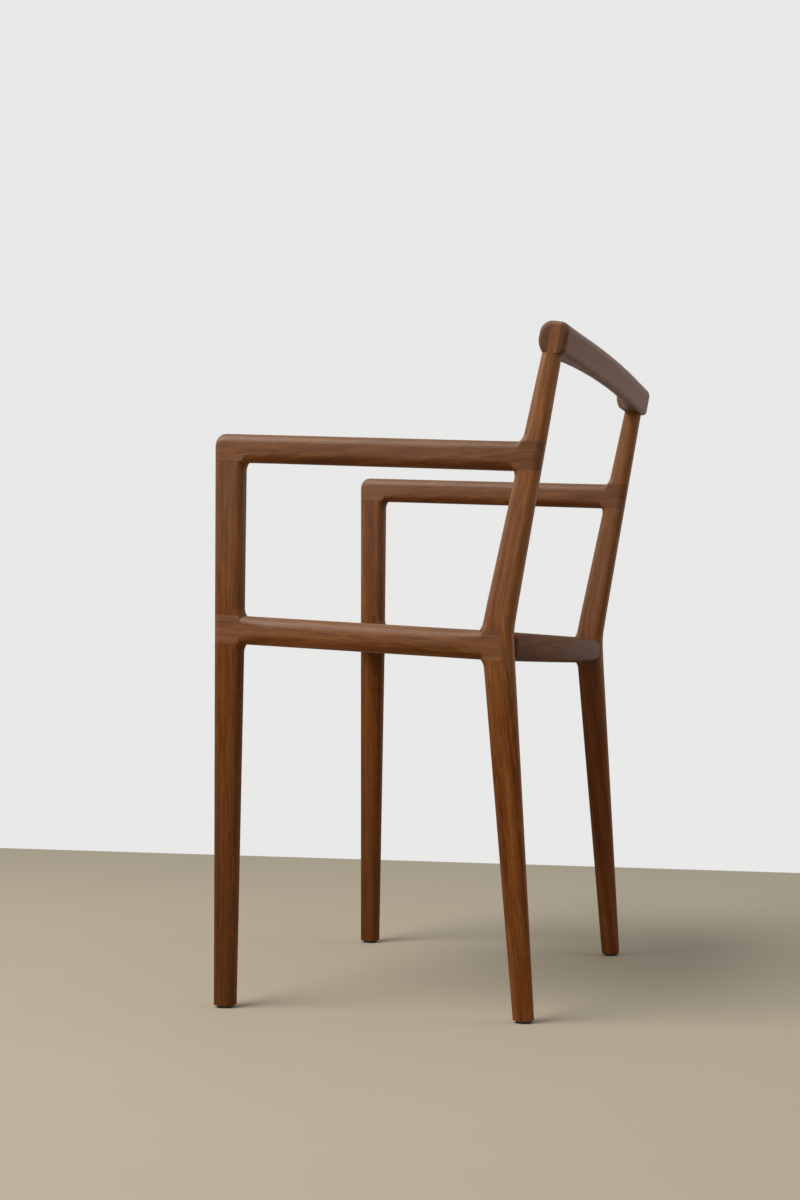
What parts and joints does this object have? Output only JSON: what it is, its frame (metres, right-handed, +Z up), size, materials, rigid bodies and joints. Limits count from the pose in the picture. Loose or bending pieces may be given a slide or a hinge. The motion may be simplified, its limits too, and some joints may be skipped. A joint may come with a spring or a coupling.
{
  "type": "armchair",
  "caption": "Low-backed wooden armchair with an open frame, arms forked over raked rear posts, a curved crest rail and a slim drop-in seat.",
  "frame": {"origin": "on the floor, under the middle of the chair's width and depth", "axes": "+Z up, the chair faces -Y, and its left side is +X"},
  "size_m": [0.5486, 0.4352, 0.7745],
  "materials": {
    "wood": "satin oiled warm brown hardwood",
    "block_wood": "plain sawn hardwood",
    "plywood": "bare plywood",
    "foam": "soft open foam",
    "cover": "woven upholstery cloth",
    "screw_steel": "zinc plated",
    "glide_plastic": "matte dark plastic"
  },
  "bodies": {
    "root": {"left_front_leg": "wood", "right_front_leg": "wood", "left_rear_leg": "wood", "right_rear_leg": "wood", "left_side_rail": "wood", "right_side_rail": "wood", "left_arm": "wood", "right_arm": "wood", "front_rail": "wood", "rear_rail": "wood", "crest_rail": "wood", "front_left_block": "block_wood", "front_right_block": "block_wood", "rear_left_block": "block_wood", "rear_right_block": "block_wood", "seat_board": "plywood", "seat_foam": "foam", "seat_cover": "cover", "seat_screws": "screw_steel", "foot_glides": "glide_plastic"}
  },
  "joints": []
}
